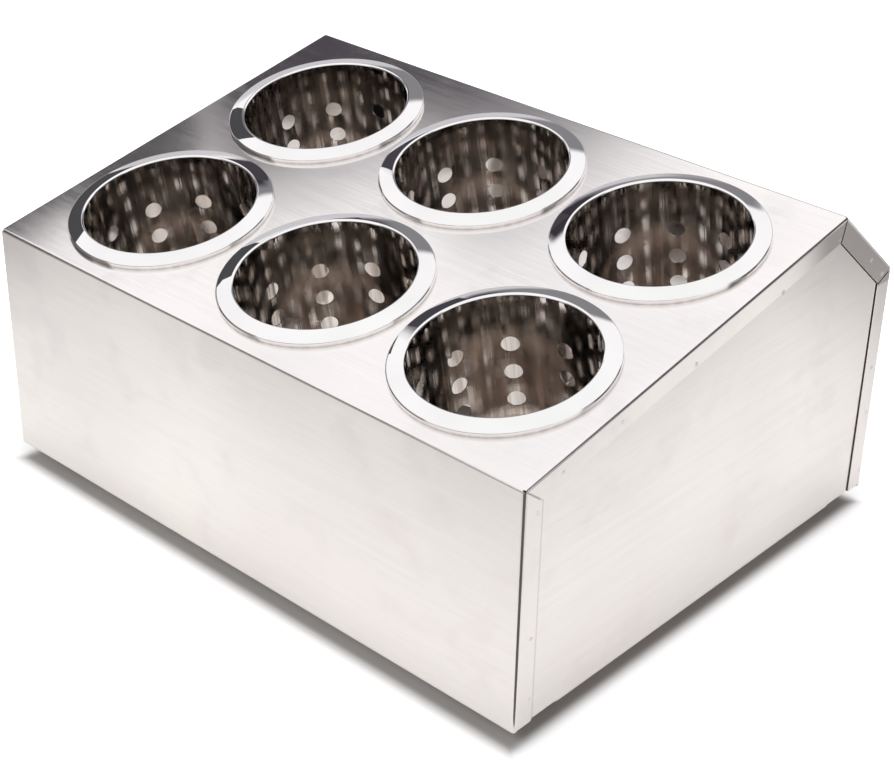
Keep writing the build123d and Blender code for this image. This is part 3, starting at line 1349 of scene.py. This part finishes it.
@dataclass
class Studio:
    """Pale floor, white surroundings, a soft key light, and grey cards that only polished metal shows."""

    # The floor as the camera sees it: tones with a painted contact shadow at the footprint, and glow over spans of
    # distance from the footprint
    floor_radius: float = 14.0
    floor_segments: int = 64
    floor_roughness: float = 0.9
    floor_tone: Colour = (0.90, 0.90, 0.90, 1.0)
    footprint: Point2 = (0.19, 0.152)
    # Painted contact shadow round the footprint: its shift, tone, glow held back in it, span, and a little glow
    # raised at its front.
    shade_shift: Point2 = (0.0, 0.002)
    contact_shadow_tone: Colour = (0.42, 0.395, 0.38, 1.0)
    contact_shadow_lift: Point2 = (0.0, 0.40)
    contact_shadow_span: Point2 = (-0.0055, 0.0055)
    front_shadow_lift: Point2 = (0.10, 0.0)
    front_shadow_span: Point2 = (-0.146, -0.138)
    floor_lift: Point2 = (0.0, 0.35)
    lift_span: Point2 = (0.01, 0.25)

    # The floor as metal mirrors it: painted shade darkens it away from the object, and painted light makes it glow
    # under the object
    mirrored_near_tone: Colour = (0.925, 0.907, 0.886, 1.0)
    mirrored_far_shade_tone: Colour = (0.30, 0.276, 0.278, 1.0)
    mirrored_span: Point2 = (0.06, 0.40)
    mirrored_lift: float = 0.06
    under_glow_lift: Point2 = (0.60, 0.0)
    under_glow_span: Point2 = (-0.06, -0.02)
    distant_lift: Point2 = (0.0, 0.30)
    distant_span: Point2 = (0.50, 0.80)

    # Light from the surroundings and the key lamp
    sky_light: float = 0.42
    key_place: Point3 = (0.1, -0.1, 2.3)
    key_size: float = 1.0
    key_watts: float = 29.0

    # The ring of cards, in metres and degrees, with its flags, and the cards near the object
    card_radius: float = 1.6
    card_height: float = 0.15
    card_reach: Point2 = (-5.0, 62.0)
    card_steps: Point2 = (2.0, 1.0)
    card_tone: Point3 = (1.0, 0.985, 1.0)
    flags: tuple[Flag, ...] = (
        Flag((10.0, 70.0), (11.0, 37.5), (0.10, 0.095, 0.10), (6.0, 3.0)),
        Flag((25.0, 45.0), (-9.0, 15.0), (0.10, 0.095, 0.10), (4.0, 3.0)),
        Flag((64.0, 128.0), (-9.0, 20.0), (0.36, 0.35, 0.37), (5.0, 3.0)),
        Flag((124.0, 158.0), (-9.0, 19.0), (0.62, 0.60, 0.63), (4.0, 3.0)),
        Flag((107.0, 142.0), (19.0, 33.0), (0.24, 0.235, 0.25), (4.0, 3.0), 0.29),
        Flag((136.0, 155.0), (22.0, 37.2), (0.04, 0.035, 0.045), (5.0, 3.5)),
        Flag((192.0, 242.0), (-9.0, 24.0), (0.20, 0.18, 0.165), (4.0, 5.0)),
        Flag((238.0, 345.0), (-9.0, 1.0), (0.12, 0.11, 0.10), (4.0, 3.0)),
    )
    cards: tuple[Card, ...] = (
        Card("studio_corner_card", ((0.196, -0.172, 0.001), (0.207, -0.156, 0.001), (0.80, -0.20, 0.001),
                                    (0.30, -0.85, 0.001)), (0.11, 0.10, 0.095, 1.0)),
        Card("studio_left_card", ((-0.44, -0.40, 0.205), (-0.44, 0.045, 0.205), (-0.44, 0.12, 0.305),
                                  (-0.44, 0.135, 0.40), (-0.44, 0.07, 0.46), (-0.44, 0.0, 0.37),
                                  (-0.44, -0.12, 0.366), (-0.44, -0.40, 0.366)), (0.07, 0.068, 0.072, 1.0)),
        Card("studio_rear_left_card", ((-0.44, 0.17, 0.33), (-0.44, 0.34, 0.36), (-0.44, 0.36, 0.52),
                                       (-0.44, 0.19, 0.48)), (0.06, 0.054, 0.066, 1.0)),
    )

    @staticmethod
    def _shown_ray(w: Wiring) -> bpy.types.NodeSocket:
        """Mask of rays that see the surroundings: from the camera, or by way of metal or glass.

        Args:
            w: The wiring of the material or the world.

        Returns:
            The mask's socket.
        """
        path = w.add("ShaderNodeLightPath").outputs
        seen = w.math("MAXIMUM", path["Is Camera Ray"], path["Is Glossy Ray"])
        return w.math("MAXIMUM", seen, path["Is Transmission Ray"])

    def _outside(self, w: Wiring, parts: bpy.types.Node, shift: Point2) -> bpy.types.NodeSocket:
        """How far a place on the floor lies outside the object's footprint, below 0 inside it.

        Args:
            w: The floor's wiring.
            parts: The place, taken apart.
            shift: How far the place is moved first, along X and Y.

        Returns:
            The distance's socket.
        """
        sides = []
        for axis, half, move in zip("XY", self.footprint, shift):
            reach = w.math("ABSOLUTE", w.math("ADD", parts.outputs[axis], move))
            sides.append(w.math("SUBTRACT", reach, half))
        return w.math("MAXIMUM", *sides)

    def _floor(self) -> bpy.types.Object:
        """The pale floor, which keeps the object's soft shadow, deepened by a painted contact shadow, and in metal
        dims away from the object by painted shade and glows under it by painted light.

        Returns:
            The floor.
        """
        work = bmesh.new()
        bmesh.ops.create_circle(
            work, cap_ends=True, segments=self.floor_segments, radius=self.floor_radius)
        mesh = Meshes.finished(work, "studio_floor")
        material = bpy.data.materials.new("pale_floor")
        material.use_nodes = True
        w = Wiring(material.node_tree)
        shader = material.node_tree.nodes["Principled BSDF"]
        shader.inputs["Roughness"].default_value = self.floor_roughness
        shader.inputs["Specular IOR Level"].default_value = 0.0
        shader.inputs["Emission Color"].default_value = WHITE
        parts = w.add("ShaderNodeSeparateXYZ", {0: w.add("ShaderNodeTexCoord").outputs["Object"]})
        away = self._outside(w, parts, (0.0, 0.0))
        shade = self._outside(w, parts, self.shade_shift)
        by_metal = w.add("ShaderNodeLightPath").outputs["Is Glossy Ray"]

        # Painted shadow: the floor darkens round the footprint, its glow held back there and raised a little at
        # the front.
        contact_shadow = w.span(shade, 1.0, 0.0, *self.contact_shadow_span)
        shaded = w.blend(contact_shadow, self.floor_tone, self.contact_shadow_tone)
        # In metal: painted shade darkens the floor away from the object.
        dimming = w.span(away, 0.0, 1.0, *self.mirrored_span)
        by_mirror = w.blend(dimming, self.mirrored_near_tone, self.mirrored_far_shade_tone)
        w.feed(shader.inputs["Base Color"], w.blend(by_metal, shaded, by_mirror))

        direct = w.math("ADD", w.span(shade, *self.contact_shadow_lift, *self.contact_shadow_span),
                        w.span(away, *self.floor_lift, *self.lift_span))
        front = w.span(parts.outputs["Y"], *self.front_shadow_lift, *self.front_shadow_span)
        direct = w.math("MULTIPLY_ADD", contact_shadow, front, direct)
        # In metal: painted light, a glow of the floor under the object.
        mirrored = w.math("ADD", w.span(away, *self.under_glow_lift, *self.under_glow_span), self.mirrored_lift)
        mirrored = w.math("ADD", mirrored, w.span(away, *self.distant_lift, *self.distant_span))
        lift = w.mix(by_metal, direct, mirrored)
        w.feed(shader.inputs["Emission Strength"], w.math("MULTIPLY", self._shown_ray(w), lift))
        mesh.materials.append(material)
        return Meshes.place("studio_floor", mesh)

    @staticmethod
    def _glow(name: str, colour: Colour | str) -> bpy.types.Material:
        """A plain glowing material for a card.

        Args:
            name: The material's name.
            colour: Its colour, or the name of the attribute that holds it.

        Returns:
            The material.
        """
        material = bpy.data.materials.new(name)
        material.use_nodes = True
        w = Wiring(material.node_tree)
        material.node_tree.nodes.remove(material.node_tree.nodes["Principled BSDF"])
        if isinstance(colour, str):
            colour = w.add("ShaderNodeAttribute", attribute_name=colour).outputs["Color"]
        glow = w.add("ShaderNodeEmission", {"Color": colour, "Strength": 1.0})
        w.feed(material.node_tree.nodes["Material Output"].inputs["Surface"], glow)
        return material

    @staticmethod
    def _mirrored_only(card: bpy.types.Object) -> bpy.types.Object:
        """Let only reflections show a card.

        Args:
            card: The card.

        Returns:
            The same card.
        """
        card.visible_camera = False
        card.visible_diffuse = False
        card.visible_shadow = False
        card.visible_transmission = False
        return card

    def _cards(self) -> bpy.types.Object:
        """The ring of cards round the object, white where no flag stands.

        Returns:
            The ring.
        """
        across, up = self.card_steps
        low, high = self.card_reach
        turns = [k * across for k in range(round(360.0 / across))]
        rises = [low + k * up for k in range(round((high - low) / up) + 1)]
        profile = [(self.card_radius * math.cos(math.radians(rise)),
                    self.card_radius * math.sin(math.radians(rise)) + self.card_height) for rise in rises]
        work = bmesh.new()
        Meshes.revolved(work, profile, len(turns))
        mesh = Meshes.finished(work, "studio_cards")
        shades = mesh.attributes.new("shade", "FLOAT_COLOR", "POINT")
        spots = ((azimuth, elevation) for elevation in rises for azimuth in turns)
        for item, (azimuth, elevation) in zip(shades.data, spots):
            tone = Vector(self.card_tone)
            for flag in self.flags:
                tone = tone.lerp(Vector(flag.tone), flag.cover(azimuth, elevation))
            item.color = (*tone, 1.0)
        mesh.materials.append(self._glow("card_paint", "shade"))
        return self._mirrored_only(Meshes.place("studio_cards", mesh))

    def _near_card(self, card: Card) -> bpy.types.Object:
        """Set up one flat card near the object.

        Args:
            card: The card.

        Returns:
            Its piece.
        """
        mesh = bpy.data.meshes.new(card.name)
        mesh.from_pydata(card.corners, [], [tuple(range(len(card.corners)))])
        mesh.materials.append(self._glow(card.name, card.tone))
        return self._mirrored_only(Meshes.place(card.name, mesh))

    def _sky(self) -> None:
        """White surroundings that also fill the shadows."""
        world = bpy.data.worlds.new("studio_sky")
        world.use_nodes = True
        bpy.context.scene.world = world
        w = Wiring(world.node_tree)
        background = world.node_tree.nodes["Background"]
        background.inputs["Color"].default_value = WHITE
        w.feed(background.inputs["Strength"], w.span(self._shown_ray(w), self.sky_light, 1.0))

    def _key(self) -> None:
        """Hang the soft square key lamp, which points at the origin."""
        lamp = bpy.data.lights.new("key_light", "AREA")
        lamp.size = self.key_size
        lamp.energy = self.key_watts
        holder = bpy.data.objects.new("key_light", lamp)
        holder.location = self.key_place
        holder.rotation_euler = (-Vector(self.key_place)).to_track_quat("-Z", "Y").to_euler()
        holder.visible_camera = False
        holder.visible_glossy = False
        bpy.context.scene.collection.objects.link(holder)

    def build(self) -> None:
        """Set up the stage and its light."""
        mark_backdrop(self._floor(), self._cards(), *(self._near_card(card) for card in self.cards))
        self._sky()
        self._key()
        bpy.context.scene.view_settings.view_transform = "Standard"


@dataclass(frozen=True)
class Viewpoint:
    """The camera at the photograph's viewing angle."""

    place: Point3 = (0.6398, -0.7080, 0.6116)
    look: Point3 = (-0.5787, 0.6471, -0.4963)
    upward: Point3 = (-0.3478, 0.3546, 0.8679)
    lens_mm: float = 78.25
    sensor_mm: float = 36.0

    def build(self) -> None:
        """Make the camera and set it as the scene's own."""
        lens = bpy.data.cameras.new("viewpoint")
        lens.sensor_fit = "HORIZONTAL"
        lens.sensor_width = self.sensor_mm
        lens.lens = self.lens_mm
        look = Vector(self.look).normalized()
        side = look.cross(Vector(self.upward)).normalized()
        matrix = Matrix((side, side.cross(look), -look)).transposed().to_4x4()
        matrix.translation = Vector(self.place)
        camera = bpy.data.objects.new("viewpoint", lens)
        camera.matrix_world = matrix
        bpy.context.scene.collection.objects.link(camera)
        bpy.context.scene.camera = camera


def main(cad_box: tuple[Vector, Vector]) -> None:
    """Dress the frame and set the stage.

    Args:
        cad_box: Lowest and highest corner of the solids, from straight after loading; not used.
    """
    logging.basicConfig(level=logging.INFO, format="%(name)s: %(message)s")
    effects = Effects()
    pieces = Housing().build(effects)
    pieces += Cylinders().build(PolishedSteel("polished_steel").make(effects))
    for piece in pieces:
        LOG.info("%s: %d faces", piece.name, len(piece.data.polygons))
    Studio().build()
    Viewpoint().build()


if __name__ == "__main__":
    main(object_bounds())
